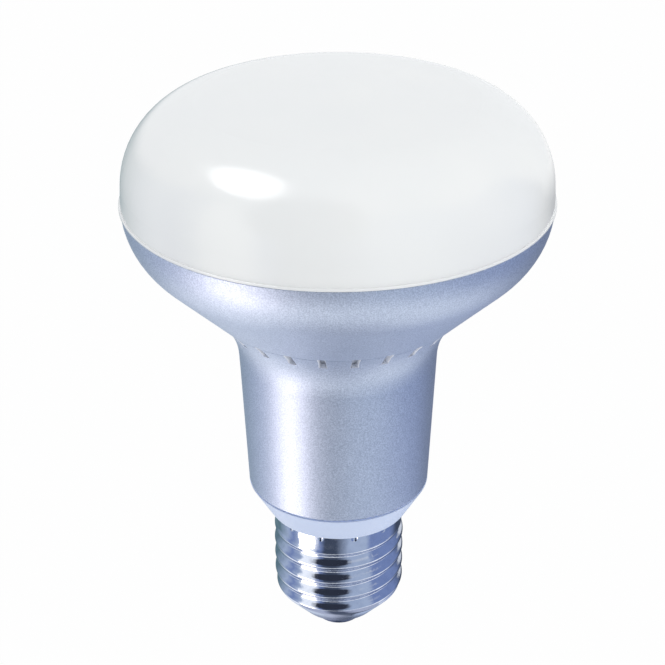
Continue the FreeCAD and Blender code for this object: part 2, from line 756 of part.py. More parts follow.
transformer_pins = [(transformer_x + side * 4.0, transformer_z + end * 6.2)
                    for side in (-1, 1) for end in (-1, 1)]
lead_holes = [(fuse_x, fuse_z - fuse_pitch / 2), (fuse_x, fuse_z + fuse_pitch / 2),
              (film_x, film_z - film_pitch / 2), (film_x, film_z + film_pitch / 2),
              (varistor_x, varistor_z - varistor_pitch / 2), (varistor_x, varistor_z + varistor_pitch / 2),
              (choke_x, choke_z - choke_pitch / 2), (choke_x, choke_z + choke_pitch / 2),
              (input_x - input_pitch / 2, input_z), (input_x + input_pitch / 2, input_z),
              (output_x - output_pitch / 2, output_z), (output_x + output_pitch / 2, output_z)]
lead_holes += transformer_pins
live_hole = (3.0, tongue_bottom_z + 3.0)
neutral_hole = (-0.4, tongue_bottom_z + 6.0)
led_wire_holes = [(x, driver_top_z - 3.5) for x, _ in led_wire_places]


def forward_pin(x, z, top):
    """A component's lead: from behind the driver board, through it, up to the component."""
    base = Vector(x, driver_back - lead_tail, z)
    return round_bar(lead_radius, base, Vector(0, 1, 0), top - base.y)


def make_driver_board():
    across = (driver_back, driver_front)
    upper = block((-driver_width / 2, driver_width / 2), across, (driver_bottom_z, driver_top_z))
    tongue = block((-tongue_width / 2, tongue_width / 2), across, (tongue_bottom_z, driver_bottom_z + 1))
    board = fused([upper, tongue])
    holes = [(x, z, lead_hole_radius) for x, z in lead_holes]
    holes += [(x, z, wire_hole_radius) for x, z in [live_hole, neutral_hole] + led_wire_holes]
    drills = [round_bar(radius, Vector(x, driver_back - 1, z), Vector(0, 1, 0), driver_thickness + 2)
              for x, z, radius in holes]
    return board.cut(Part.makeCompound(drills))


def make_fuse_resistor():
    body_radius, body_length = 1.7, 9.0
    centre_y = driver_front + stand_off + body_radius
    body = Part.makeCylinder(body_radius, body_length, Vector(fuse_x, centre_y, fuse_z - body_length / 2))
    body = body.makeFillet(0.5, [edge for edge in body.Edges if edge.BoundBox.ZLength < 0.01])
    ends = []
    for side in (-1, 1):
        z = fuse_z + side * fuse_pitch / 2
        route = [(fuse_x, driver_back - lead_tail, z), (fuse_x, centre_y, z),
                 (fuse_x, centre_y, fuse_z + side * (body_length / 2 - 0.5))]
        ends.append(bent_wire(route, lead_radius, 0.8))
    return fused([body] + ends)


def make_film_capacitor():
    width, height, length = 4.6, 8.2, 10.4
    base = driver_front + stand_off
    case = block((film_x - width / 2, film_x + width / 2), (base, base + height),
                 (film_z - length / 2, film_z + length / 2))
    case = case.makeFillet(0.5, case.Edges)
    pins = [forward_pin(film_x, film_z + side * film_pitch / 2, base + 1) for side in (-1, 1)]
    return fused([case] + pins)


def make_varistor():
    radius, thickness = 3.6, 3.2
    base = driver_front + 1.2
    body = Part.makeCylinder(radius, thickness,
                             Vector(varistor_x - thickness / 2, base + radius, varistor_z), Vector(1, 0, 0))
    body = body.makeFillet(0.9, [edge for edge in body.Edges if edge.BoundBox.XLength < 0.01])
    pins = [forward_pin(varistor_x, varistor_z + side * varistor_pitch / 2, base + radius)
            for side in (-1, 1)]
    return fused([body] + pins)


choke_flange_radius = 4.0
choke_core_radius = 2.0
choke_height = 8.4
choke_flange = 1.1
choke_base = driver_front + stand_off


def choke_disc(radius, bottom, top):
    return Part.makeCylinder(radius, top - bottom, Vector(choke_x, bottom, choke_z), Vector(0, 1, 0))


def make_choke_core():
    top = choke_base + choke_height
    drum = fused([choke_disc(choke_flange_radius, choke_base, choke_base + choke_flange),
                  choke_disc(choke_core_radius, choke_base, top),
                  choke_disc(choke_flange_radius, top - choke_flange, top)])
    return fused([drum] + [forward_pin(choke_x, choke_z + side * choke_pitch / 2, choke_base + 0.5)
                           for side in (-1, 1)])


def make_choke_winding():
    bottom = choke_base + choke_flange
    top = choke_base + choke_height - choke_flange
    outer = choke_disc(choke_flange_radius - 0.5, bottom, top)
    return outer.cut(choke_disc(choke_core_radius, bottom, top))


def make_electrolytic(x, z, pitch, radius, height):
    """Rolled aluminium can on end, with its crimped neck over the rubber plug."""
    outline = Outline(0, stand_off).line(radius - 0.7, stand_off).line(radius - 0.4, stand_off + 0.3)
    outline.line(radius, stand_off + 0.9).line(radius, stand_off + 1.6)
    outline.line(radius - 0.45, stand_off + 2.0).line(radius, stand_off + 2.4)
    outline.line(radius, stand_off + height - 0.5).line(radius - 0.5, stand_off + height)
    outline.line(0, stand_off + height)
    can = outline.spin()
    can.rotate(CENTRE, Vector(1, 0, 0), -90)
    can.translate(Vector(x, driver_front, z))
    pins = [forward_pin(x + side * pitch / 2, z, driver_front + stand_off + 0.5) for side in (-1, 1)]
    return fused([can] + pins)


# Transformer: two E-shaped ferrite halves through a moulded bobbin, wound between its flanges
core_half_length = 6.3
core_half_width = 6.4
core_leg = 1.6
core_centre = 1.9
core_depth = 2.6
bobbin_gap = 0.15
bobbin_wall = 0.8
bobbin_flange = (4.55, 4.4)
bobbin_half_length = 4.2
transformer_y = driver_front + 1.2 + bobbin_flange[1]


def at_transformer(x, y, z):
    return block((transformer_x + x[0], transformer_x + x[1]), (transformer_y + y[0], transformer_y + y[1]),
                 (transformer_z + z[0], transformer_z + z[1]))


def centred(half):
    return (-half, half)


def make_transformer_core():
    halves = []
    for side in (-1, 1):
        span = sorted((0, side * core_half_length))
        yoke = sorted((side * (core_half_length - core_leg), side * core_half_length))
        half = [at_transformer(centred(core_half_width), centred(core_depth), yoke),
                at_transformer(centred(core_centre), centred(core_depth), span)]
        for edge in (-1, 1):
            x = sorted((edge * (core_half_width - core_leg), edge * core_half_width))
            half.append(at_transformer(x, centred(core_depth), span))
        halves.append(fused(half))
    return Part.makeCompound(halves)


def bobbin_tube(grow, half_length):
    x = core_centre + bobbin_gap + grow
    y = core_depth + bobbin_gap + grow
    return at_transformer(centred(x), centred(y), centred(half_length))


def make_transformer_bobbin():
    tube = bobbin_tube(bobbin_wall, bobbin_half_length)
    flanges = []
    feet = []
    for side in (-1, 1):
        span = sorted((side * (bobbin_half_length - bobbin_wall), side * bobbin_half_length))
        flanges.append(at_transformer(centred(bobbin_flange[0]), centred(bobbin_flange[1]), span))
        foot = sorted((side * (bobbin_half_length - bobbin_wall), side * (core_half_length + 0.6)))
        below = (-bobbin_flange[1], -core_depth - bobbin_gap)
        feet.append(at_transformer(centred(bobbin_flange[0]), below, foot))
    pins = [forward_pin(x, z, transformer_y - bobbin_flange[1] + 0.6) for x, z in transformer_pins]
    body = fused([tube] + flanges + feet + pins)
    return body.cut(bobbin_tube(0, core_half_length + 1))


def make_transformer_winding():
    half = bobbin_half_length - bobbin_wall
    outer = bobbin_tube(bobbin_wall + 1.1, half)
    outer = outer.makeFillet(0.9, [edge for edge in outer.Edges if edge.BoundBox.ZLength > half])
    return outer.cut(bobbin_tube(bobbin_wall, half))


def make_chip(x, z, size, lead_count, lead_width):
    """A surface-mounted package on the back of the driver board, with its bent leads."""
    width, length, height = size
    body = block((x - width / 2, x + width / 2), (driver_back - height, driver_back - 0.1),
                 (z - length / 2, z + length / 2))
    pieces = [body]
    for i in range(lead_count):
        lead_z = z + (i - (lead_count - 1) / 2) * (length / lead_count)
        span = (lead_z - lead_width / 2, lead_z + lead_width / 2)
        for side in (-1, 1):
            foot = sorted((x + side * (width / 2 - 0.2), x + side * (width / 2 + 0.8)))
            riser = sorted((x + side * (width / 2 - 0.2), x + side * (width / 2 + 0.25)))
            pieces.append(block(foot, (driver_back - 0.2, driver_back), span))
            pieces.append(block(riser, (driver_back - height * 0.55, driver_back), span))
    return fused(pieces)


def make_live_lead():
    """From the driver board down the contact's stem, where the tack pins it."""
    beside_tack = (stem_bore_radius + tack_shank_radius) / 2
    x, z = live_hole
    route = [(x, driver_back - lead_tail, z), (x, driver_front + 2.6, z),
             (beside_tack, 0.0, z - 4.5), (beside_tack, 0.0, tack_head_thickness + 0.3)]
    return bent_wire(route, (stem_bore_radius - tack_shank_radius) / 2 - glass_gap, 1.2)


def make_neutral_lead():
    """Out through the boss's slot and up its groove, where the cap's thread presses on it."""
    inside = -boss_bore_radius + 2.4
    outside = -wire_groove_bed - wire_radius - boss_gap / 2
    x, z = neutral_hole
    low = wire_slot_top_z - wire_radius - boss_gap
    route = [(x, driver_front + lead_tail, z), (x, driver_back - 2.6, z), (x * 0.4, inside, z - 5),
             (0.0, inside, low), (0.0, outside, low), (0.0, outside, wire_groove_top_z - 1)]
    return bent_wire(route, wire_radius, wire_bend)


def make_led_lead(number):
    """From the driver board up through the plate, then bent over on to the light board."""
    board_x, board_z = led_wire_holes[number]
    x, y = led_wire_places[number]
    over = board_top_z + wire_radius
    route = [(board_x, driver_back - lead_tail, board_z), (board_x, y, board_z), (x, y, over),
             (x, y - led_lead_reach, over)]
    return bent_wire(route, wire_radius, wire_bend)


os.makedirs("parts", exist_ok=True)
save("housing", make_housing())
save("diffuser", make_diffuser())
save("heat_plate", make_heat_plate())
save("led_board", make_led_board())
led_number = 0
for ring_radius, ring_count in zip(led_ring_radii, led_ring_counts):
    for led_angle in ring_angles(ring_count):
        led_number += 1
        save(f"led_{led_number:02d}", make_led(ring_radius, led_angle))
save("board_screws", make_board_screws())
save("inner_sleeve", make_inner_sleeve())
save("screw_shell", make_screw_shell())
save("cap_insulator", make_cap_insulator())
save("centre_contact", make_centre_contact())
save("contact_tack", make_contact_tack())
save("driver_board", make_driver_board())
save("fuse_resistor", make_fuse_resistor())
save("film_capacitor", make_film_capacitor())
save("varistor", make_varistor())
save("choke_core", make_choke_core())
save("choke_winding", make_choke_winding())
save("input_capacitor", make_electrolytic(input_x, input_z, input_pitch, *input_can))
save("output_capacitor", make_electrolytic(output_x, output_z, output_pitch, *output_can))
save("transformer_core", make_transformer_core())
save("transformer_bobbin", make_transformer_bobbin())
save("transformer_winding", make_transformer_winding())
save("bridge_rectifier", make_chip(bridge_x, bridge_z, bridge_size, lead_count=2, lead_width=0.7))
save("driver_chip", make_chip(chip_x, chip_z, chip_size, lead_count=4, lead_width=0.45))
save("output_diode", make_chip(diode_x, diode_z, diode_size, lead_count=1, lead_width=1.5))
save("live_lead", make_live_lead())
save("neutral_lead", make_neutral_lead())
save("led_lead_positive", make_led_lead(0))
save("led_lead_negative", make_led_lead(1))
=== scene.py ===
# %% [markdown]
# # A reflector bulb, lit and finished
#
# The lamp comes from its construction model, already packed: a silver bowl and neck, an opal dome,
# a white collar, a rolled screw cap and, inside, the light board and the driver. This lesson gives
# every piece the surface it has on the real lamp, then puts the lamp in a small photo studio.
# Lengths are in metres, and the lamp stands on +Z with its bottom contact at the origin.

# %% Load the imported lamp
import bpy
import math
from mathutils import Matrix, Vector

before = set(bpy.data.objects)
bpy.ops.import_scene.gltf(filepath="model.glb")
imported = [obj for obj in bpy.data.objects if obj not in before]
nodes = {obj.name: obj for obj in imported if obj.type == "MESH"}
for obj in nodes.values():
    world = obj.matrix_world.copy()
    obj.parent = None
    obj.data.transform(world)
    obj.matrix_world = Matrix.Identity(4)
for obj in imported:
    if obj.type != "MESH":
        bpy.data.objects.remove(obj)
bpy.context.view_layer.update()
bpy.ops.object.select_all(action="DESELECT")

# %% [markdown]
# The camera stands where the photographer's did: in front of the lamp, looking down on it by about
# 28 degrees from a little more than 30 cm away. A fit to the rim and the thread gave its place.
# So close to the lamp the perspective is strong: the rim looks much wider than the cap. A long lens
# from further away would flatten that, so place and lens have to be right together.

# %% Camera
camera_place = Vector((0.0, -0.26955, 0.20804))
camera_pitch = math.radians(27.744)
camera_roll = -0.0032
camera_lens = 85.72          # millimetres, on a 36 mm sensor
camera_shift = (-0.00836, 0.00075)      # the lamp's axis is a little right of the picture's middle

bpy.ops.object.camera_add(location=camera_place)
camera = bpy.context.object
camera.rotation_euler = (Matrix.Rotation(math.pi / 2 - camera_pitch, 3, "X")
                         @ Matrix.Rotation(camera_roll, 3, "Z")).to_euler()
camera.data.lens = camera_lens
camera.data.shift_x, camera.data.shift_y = camera_shift
bpy.context.scene.camera = camera
print("camera:", [round(v, 3) for v in camera.location])

# %% [markdown]
# A paint chart gives colours as sRGB hex, and Blender wants linear light, so one function converts
# them. Another adds a node with its settings and its joins in one go. Values given in order fill the
# sockets that the node shows, from the top down. A name that starts with a capital is a socket's, and
# any other name is a setting. A node given as a value stands for the first output that it shows.

# %% Colour and node helpers
mm = 0.001


def linear(code, alpha=1.0):
    channels = [int(code[i:i + 2], 16) / 255 for i in (1, 3, 5)]
    return [c / 12.92 if c <= 0.04045 else ((c + 0.055) / 1.055) ** 2.4 for c in channels] + [alpha]


def add_node(tree, kind, *in_order, **named):
    node = tree.nodes.new("ShaderNode" + kind)
    for name, value in named.items():
        if name[0].islower():
            setattr(node, name, value)
    pairs = list(zip([socket for socket in node.inputs if socket.enabled], in_order))
    pairs += [(node.inputs[name.replace("_", " ")], named[name]) for name in named if name[0].isupper()]
    for socket, value in pairs:
        if isinstance(value, bpy.types.Node):
            value = next(output for output in value.outputs if output.enabled)
        if isinstance(value, bpy.types.NodeSocket):
            tree.links.new(value, socket)
        else:
            socket.default_value = value
    return node


# %% [markdown]
# Every finish starts the same way: an empty recipe, laid on the pieces that wear it, and the place on
# the piece that each pattern is measured from. Object coordinates are metres in the lamp's own frame,
# so a pattern keeps its real size and stays put on the piece.

# %% A new finish
def new_finish(name, *pieces):
    material = bpy.data.materials.new(name)
    material.use_nodes = True
    tree = material.node_tree
    tree.nodes.clear()
    for piece in pieces:
        nodes[piece].data.materials.clear()
        nodes[piece].data.materials.append(material)
    print(name, "on", len(pieces), "piece(s)")
    return tree, add_node(tree, "TexCoord").outputs["Object"]


# %% [markdown]
# ## The housing
#
# The bowl and neck are one white moulding, sprayed outside with silver lacquer: a clear binder full
# of tiny aluminium flakes. Each flake lies a little differently, so the surface has a fine grain and
# wide soft highlights. The spray comes from the side, so it covers what faces straight out from the
# axis, however steeply, and misses the sides of the vent slots and the inside, which stay white
# plastic. The level part of the surface's direction, set against the way out, tells the two apart.

# %% Where the spray reached
spray_edge = (0.6, 0.85)     # from bare to covered, 1 being straight out from the axis
tree, place = new_finish("silver_flake_lacquer_sprayed", "housing")
normal = add_node(tree, "NewGeometry").outputs["Normal"]
sideways = add_node(tree, "VectorMath", place, (1, 1, 0), operation="MULTIPLY")
outward = add_node(tree, "VectorMath", sideways, operation="NORMALIZE")
level_part = add_node(tree, "VectorMath", normal, (1, 1, 0), operation="MULTIPLY")
level = add_node(tree, "VectorMath", level_part, operation="NORMALIZE")
agreement = add_node(tree, "VectorMath", level, outward, operation="DOT_PRODUCT")
painted = add_node(tree, "MapRange", agreement, *spray_edge)

# %% Silver lacquer over white plastic
flake_size = 0.24 * mm       # real flakes are finer, and would not show at this distance
flakes = add_node(tree, "TexNoise", place, Scale=1 / flake_size)
glints = add_node(tree, "MapRange", flakes, 0.36, 0.64)
cloud = add_node(tree, "TexNoise", place, Scale=1 / (3 * mm), Detail=3.0)
uneven = add_node(tree, "MapRange", cloud, 0.0, 1.0, 0.0, 0.3)
# The silver's blue cast is painted light: it stands for the cold light round the lamp.
silver = add_node(tree, "Mix", glints, linear("#ABB6C8"), linear("#D0D9E8"), data_type="RGBA")
silver = add_node(tree, "Mix", uneven, silver, linear("#AAB5CA"), data_type="RGBA")
colour = add_node(tree, "Mix", painted, linear("#EBEEF6"), silver, data_type="RGBA")
metal = add_node(tree, "MapRange", painted, 0.0, 1.0, 0.0, 0.84)
satin = add_node(tree, "MapRange", flakes, 0.0, 1.0, 0.42, 0.53)
roughness = add_node(tree, "Mix", painted, 0.5, satin)
bump = add_node(tree, "Bump", Height=flakes, Distance=0.02 * mm, Strength=0.16)
surface = add_node(tree, "BsdfPrincipled", Base_Color=colour, Metallic=metal, Roughness=roughness,
                   Normal=bump)
add_node(tree, "OutputMaterial", surface)
print("lacquer nodes:", len(tree.nodes))

# %% [markdown]
# ## The dome
#
# The diffuser is opal polycarbonate, moulded against a polished tool. Light goes a few millimetres
# into it and comes back out, which hides the light board and softens every shadow, and its polished
# skin still shows a clear highlight. Subsurface scattering gives the first, low roughness the second.
# A long, shallow ripple is what polishing a tool by hand leaves, and it bends the highlight's edge.

# %% Opal polycarbonate
tree, place = new_finish("opal_polycarbonate_moulded", "diffuser")
ripple = add_node(tree, "TexNoise", place, Scale=1 / (18 * mm), Detail=1.0)
colour = add_node(tree, "Mix", ripple, linear("#F4F4F1"), linear("#EEEFEE"), data_type="RGBA")
bump = add_node(tree, "Bump", Height=ripple, Distance=0.2 * mm, Strength=0.06)
surface = add_node(tree, "BsdfPrincipled", Base_Color=colour, Roughness=0.16, IOR=1.585, Normal=bump,
                   Subsurface_Weight=0.6, Subsurface_Radius=(1, 1, 1), Subsurface_Scale=1.5 * mm)
add_node(tree, "OutputMaterial", surface)

# %% [markdown]
# ## The sleeve and its collar
#
# The inner sleeve is moulded in white polyester. Its cold blue tint is painted light, for the cold
# light that falls on the collar. Only its collar shows, below the neck. The tool was spark-eroded, so
# the skin is satin, with a grain of a few tenths of a millimetre.

# %% White polyester moulding
tree, place = new_finish("white_polyester_moulded_satin", "inner_sleeve")
grain = add_node(tree, "TexNoise", place, Scale=1 / (0.35 * mm))
tint = add_node(tree, "TexNoise", place, Scale=1 / (6 * mm))
# The blue of these two whites is painted light.
colour = add_node(tree, "Mix", tint, linear("#DAE5FF"), linear("#D2DFFB"), data_type="RGBA")
bump = add_node(tree, "Bump", Height=grain, Distance=0.015 * mm, Strength=0.4)
surface = add_node(tree, "BsdfPrincipled", Base_Color=colour, Roughness=0.42, Normal=bump,
                   Subsurface_Weight=0.2, Subsurface_Radius=(1, 1, 1), Subsurface_Scale=0.6 * mm)
add_node(tree, "OutputMaterial", surface)

# %% [markdown]
# ## The screw cap
#
# The shell is rolled from thin brass strip and nickel plated, so it is a mirror. Its cold blue cast is
# painted light, for the cold light round the lamp. Two things break the mirror. The rollers leave faint
# lines that run round the cap, so noise is squeezed along its height. The thin metal is never quite
# true, so a slow swell bends what it reflects. The shoulder at the bottom is painted darker, as painted
# shade below the housing, and is made rougher. The edge of that is uneven, because haze on the plating
# shifts it up and down.

# %% Nickel plate
shoulder_foot, shoulder_top = 5.2 * mm, 7.2 * mm
tree, place = new_finish("nickel_plated_brass_rolled", "screw_shell")
squeezed = add_node(tree, "VectorMath", place, (0.05, 0.05, 1), operation="MULTIPLY")
lines = add_node(tree, "TexNoise", squeezed, Scale=1 / (0.18 * mm), Detail=3.0)
swell = add_node(tree, "TexNoise", place, Scale=1 / (2.4 * mm), Detail=1.0)
height = add_node(tree, "Math", lines, 0.02, swell, operation="MULTIPLY_ADD")
bump = add_node(tree, "Bump", Height=height, Distance=0.12 * mm, Strength=0.35)
haze = add_node(tree, "TexNoise", place, Scale=1 / (1.6 * mm), Detail=4.0, Roughness=0.6)
breath = add_node(tree, "MapRange", haze, 0.4, 0.75)
z = add_node(tree, "SeparateXYZ", place).outputs["Z"]
shade_line_height = add_node(tree, "Math", breath, 0.8 * mm, z, operation="MULTIPLY_ADD")
# Painted shade: the shoulder turns darker and rougher, for the shade below the housing.
shoulder_shade_and_matt = add_node(tree, "MapRange", shade_line_height, shoulder_top, shoulder_foot)
# The plating's cold blue is painted light.
plated = add_node(tree, "Mix", breath, linear("#CDD3E0"), linear("#BEC5D4"), data_type="RGBA")
colour = add_node(tree, "Mix", shoulder_shade_and_matt, plated, linear("#76809A"), data_type="RGBA")
mirror = add_node(tree, "MapRange", breath, 0.0, 1.0, 0.07, 0.14)
roughness = add_node(tree, "Mix", shoulder_shade_and_matt, mirror, 0.28)
surface = add_node(tree, "BsdfPrincipled", Base_Color=colour, Metallic=1.0, Roughness=roughness,
                   Normal=bump)
add_node(tree, "OutputMaterial", surface)

# %% [markdown]
# The contact at the bottom is tinned brass, softer and rougher than the shell, because solder and the
# lampholder's spring both mark it. Its colours are darker and bluer than tin, as painted shade below
# the housing. Rings round the middle are the marks of being screwed in and out.

# %% Tinned brass
ring_gap = 0.35 * mm
tree, place = new_finish("tinned_brass_pressed", "centre_contact", "contact_tack")
flat = add_node(tree, "VectorMath", place, (1, 1, 0), operation="MULTIPLY")
reach = add_node(tree, "VectorMath", flat, operation="LENGTH")
phase = add_node(tree, "Math", reach, 2 * math.pi / ring_gap, operation="MULTIPLY")
rings = add_node(tree, "Math", phase, operation="SINE")
patches = add_node(tree, "TexNoise", place, Scale=1 / (0.9 * mm), Detail=3.0)
height = add_node(tree, "Math", rings, 0.1, patches, operation="MULTIPLY_ADD")
bump = add_node(tree, "Bump", Height=height, Distance=0.03 * mm, Strength=0.5)
# Painted shade: both colours are darkened for the shade below the housing.
colour = add_node(tree, "Mix", patches, linear("#566078"), linear("#808AA2"), data_type="RGBA")
roughness = add_node(tree, "MapRange", patches, 0.0, 1.0, 0.24, 0.42)
surface = add_node(tree, "BsdfPrincipled", Base_Color=colour, Metallic=1.0, Roughness=roughness,
                   Normal=bump)
add_node(tree, "OutputMaterial", surface)

# %% [markdown]
# Between shell and contact lies black glass, poured in hot. It shrinks as it sets, so its skin is
# glossy with a slight orange peel, and small grey bubbles show at the surface.

# %% Black glass
tree, place = new_finish("black_glass_cast", "cap_insulator")
peel = add_node(tree, "TexNoise", place, Scale=1 / (1.1 * mm), Detail=1.0)
bump = add_node(tree, "Bump", Height=peel, Distance=0.08 * mm, Strength=0.3)
cells = add_node(tree, "TexVoronoi", place, Scale=1 / (0.9 * mm))
clear_glass = add_node(tree, "MapRange", cells, 0.1, 0.16)
colour = add_node(tree, "Mix", clear_glass, linear("#3A3C44"), linear("#121318"), data_type="RGBA")
surface = add_node(tree, "BsdfPrincipled", Base_Color=colour, Roughness=0.08, IOR=1.52, Normal=bump)
add_node(tree, "OutputMaterial", surface)

# %% [markdown]
# ## The light engine
#
# Under the dome, a cast aluminium dish carries the heat away. Its skirt follows the housing down, and
# it is the pale surface that shows through the vent slots. It is powder coated, which radiates better
# than bare metal and has a slight orange peel. Only the top, milled flat in fine parallel lines where
# the board lies on it, is bare.

# %% Powder-coated casting
cutter_step = 0.4 * mm
tree, place = new_finish("aluminium_casting_powder_coated_milled_top", "heat_plate")
normal = add_node(tree, "NewGeometry").outputs["Normal"]
milled = add_node(tree, "MapRange", add_node(tree, "SeparateXYZ", normal).outputs["Z"], 0.9, 0.99)
peel = add_node(tree, "TexNoise", place, Scale=1 / (0.5 * mm))
x = add_node(tree, "SeparateXYZ", place).outputs["X"]
phase = add_node(tree, "Math", x, 2 * math.pi / cutter_step, operation="MULTIPLY")
cuts = add_node(tree, "Math", phase, operation="SINE")
cut_depth = add_node(tree, "MapRange", cuts, -1.0, 1.0, 0.0, 0.6)
height = add_node(tree, "Mix", milled, peel, cut_depth)
bump = add_node(tree, "Bump", Height=height, Distance=0.02 * mm, Strength=0.6)
powder = add_node(tree, "Mix", peel, linear("#E8EDF7"), linear("#DFE5F1"), data_type="RGBA")
colour = add_node(tree, "Mix", milled, powder, linear("#D8D9DB"), data_type="RGBA")
roughness = add_node(tree, "MapRange", milled, 0.0, 1.0, 0.5, 0.3)
surface = add_node(tree, "BsdfPrincipled", Base_Color=colour, Metallic=milled, Roughness=roughness,
                   Normal=bump)
add_node(tree, "OutputMaterial", surface)

# %% [markdown]
# The light board is an aluminium plate under white solder mask. Copper tracks lie beneath the mask
# and lift it slightly: two rings join the diodes, and round each screw a ring of tinned copper is
# left bare. Distances from the middle, and from the nearest screw, draw both. Each distance becomes a
# mask, and the greatest of several masks is the mask of them all.

# %% Light board: where its copper is
diode_rings = (9.6 * mm, 23.0 * mm)
track_half = 2.3 * mm
screw_ring = 13.4 * mm
screw_angles = (90, 210, 330)
bare_reach = 3.35 * mm
tree, place = new_finish("white_solder_mask_on_aluminium", "led_board")
flat = add_node(tree, "VectorMath", place, (1, 1, 0), operation="MULTIPLY")
reach = add_node(tree, "VectorMath", flat, operation="LENGTH")
tracks = 0.0
for ring in diode_rings:
    gap = add_node(tree, "Math", reach, ring, operation="SUBTRACT")
    away = add_node(tree, "Math", gap, operation="ABSOLUTE")
    track = add_node(tree, "MapRange", away, track_half, track_half - 0.1 * mm)
    tracks = add_node(tree, "Math", track, tracks, operation="MAXIMUM")
bare = 0.0
for angle in screw_angles:
    screw = (screw_ring * math.cos(math.radians(angle)), screw_ring * math.sin(math.radians(angle)), 0)
    away = add_node(tree, "VectorMath", flat, screw, operation="DISTANCE")
    pad = add_node(tree, "MapRange", away, bare_reach, bare_reach - 0.05 * mm)
    bare = add_node(tree, "Math", pad, bare, operation="MAXIMUM")
print("copper rings:", len(diode_rings), "bare pads:", len(screw_angles))

# %% Light board: white mask over it
normal = add_node(tree, "NewGeometry").outputs["Normal"]
top = add_node(tree, "MapRange", add_node(tree, "SeparateXYZ", normal).outputs["Z"], 0.4, 0.6)
mask = add_node(tree, "Mix", tracks, linear("#F2F2EC"), linear("#EBEADF"), data_type="RGBA")
face = add_node(tree, "Mix", bare, mask, linear("#C9CACB"), data_type="RGBA")
colour = add_node(tree, "Mix", top, linear("#BFC1C4"), face, data_type="RGBA")
metal = add_node(tree, "Mix", top, 1.0, bare)
roughness = add_node(tree, "MapRange", metal, 0.0, 1.0, 0.38, 0.3)
grain = add_node(tree, "TexNoise", place, Scale=1 / (0.25 * mm))
height = add_node(tree, "Math", grain, 0.15, tracks, operation="MULTIPLY_ADD")
bump = add_node(tree, "Bump", Height=height, Distance=0.05 * mm, Strength=0.7)
surface = add_node(tree, "BsdfPrincipled", Base_Color=colour, Metallic=metal, Roughness=roughness,
                   Normal=bump)
add_node(tree, "OutputMaterial", surface)

# %% [markdown]
# Each diode is a white ceramic-filled package with a shallow window. The window holds silicone full
# of yellow phosphor, which turns the chip's blue light white, and unlit it looks egg-yolk yellow. The
# window's floor lies 0.68 mm over the board, so height and an upward face pick it out.

# %% Diode packages
board_top = 87.4 * mm
window_floor = board_top + 0.68 * mm
diodes = [name for name in nodes if name.startswith("led_") and name[4:].isdigit()]
tree, place = new_finish("diode_package_with_phosphor_silicone", *diodes)
z = add_node(tree, "SeparateXYZ", place).outputs["Z"]
normal = add_node(tree, "NewGeometry").outputs["Normal"]
upward = add_node(tree, "MapRange", add_node(tree, "SeparateXYZ", normal).outputs["Z"], 0.8, 0.95)
gap = add_node(tree, "Math", z, window_floor, operation="SUBTRACT")
away = add_node(tree, "Math", gap, operation="ABSOLUTE")
at_floor = add_node(tree, "MapRange", away, 0.05 * mm, 0.03 * mm)
window_pane = add_node(tree, "Math", at_floor, upward, operation="MULTIPLY")
grains = add_node(tree, "TexNoise", place, Scale=1 / (0.12 * mm), Detail=3.0, Roughness=0.7)
phosphor = add_node(tree, "Mix", grains, linear("#E8C23A"), linear("#F4DC6E"), data_type="RGBA")
ceramic = add_node(tree, "Mix", grains, linear("#F3F1EA"), linear("#E9E6DC"), data_type="RGBA")
colour = add_node(tree, "Mix", window_pane, ceramic, phosphor, data_type="RGBA")
roughness = add_node(tree, "MapRange", window_pane, 0.0, 1.0, 0.5, 0.22)
bump = add_node(tree, "Bump", Height=grains, Distance=0.01 * mm, Strength=0.4)
surface = add_node(tree, "BsdfPrincipled", Base_Color=colour, Roughness=roughness, Normal=bump)
add_node(tree, "OutputMaterial", surface)

# %% [markdown]
# The three screws are zinc plated and passivated, which leaves a bluish film with faint rainbow
# patches. Steel under zinc is bright but not a mirror.

# %% Zinc-plated screws
tree, place = new_finish("steel_zinc_plated_passivated", "board_screws")
film = add_node(tree, "TexNoise", place, Scale=1 / (1.3 * mm))
patchy = add_node(tree, "MapRange", film, 0.35, 0.65)
colour = add_node(tree, "Mix", patchy, linear("#BFC6CF"), linear("#CFC9B4"), data_type="RGBA")
roughness = add_node(tree, "MapRange", film, 0.0, 1.0, 0.22, 0.36)
crystals = add_node(tree, "TexNoise", place, Scale=1 / (0.2 * mm), Detail=3.0)
bump = add_node(tree, "Bump", Height=crystals, Distance=0.01 * mm, Strength=0.5)
surface = add_node(tree, "BsdfPrincipled", Base_Color=colour, Metallic=1.0, Roughness=roughness,
                   Normal=bump)
add_node(tree, "OutputMaterial", surface)

# %% [markdown]
# ## The driver
#
# The driver's board is pressed paper and glass cloth in tan resin. Its weave shows faintly through,
# and its sawn edges are paler and rougher. The back is covered with green solder mask over wide
# tracks, which run along the board and wander a little, with clear gaps between them.

# %% Driver board: weave and tracks
weave_pitch = 0.6 * mm
track_pitch = 3.2 * mm
tree, place = new_finish("composite_laminate_green_mask", "driver_board")
split = add_node(tree, "SeparateXYZ", place)
threads = []
for axis in ("X", "Z"):
    phase = add_node(tree, "Math", split.outputs[axis], 2 * math.pi / weave_pitch, operation="MULTIPLY")
    threads.append(add_node(tree, "Math", phase, operation="SINE"))
crossing = add_node(tree, "Math", *threads, operation="MULTIPLY")
weave = add_node(tree, "MapRange", crossing, -1.0, 1.0)
wander = add_node(tree, "TexNoise", place, Scale=1 / (7 * mm), Detail=0.0)
lane = add_node(tree, "Math", wander, 9 * mm, split.outputs["X"], operation="MULTIPLY_ADD")
phase = add_node(tree, "Math", lane, 2 * math.pi / track_pitch, operation="MULTIPLY")
wave = add_node(tree, "Math", phase, operation="SINE")
tracks = add_node(tree, "MapRange", wave, -0.55, -0.45)

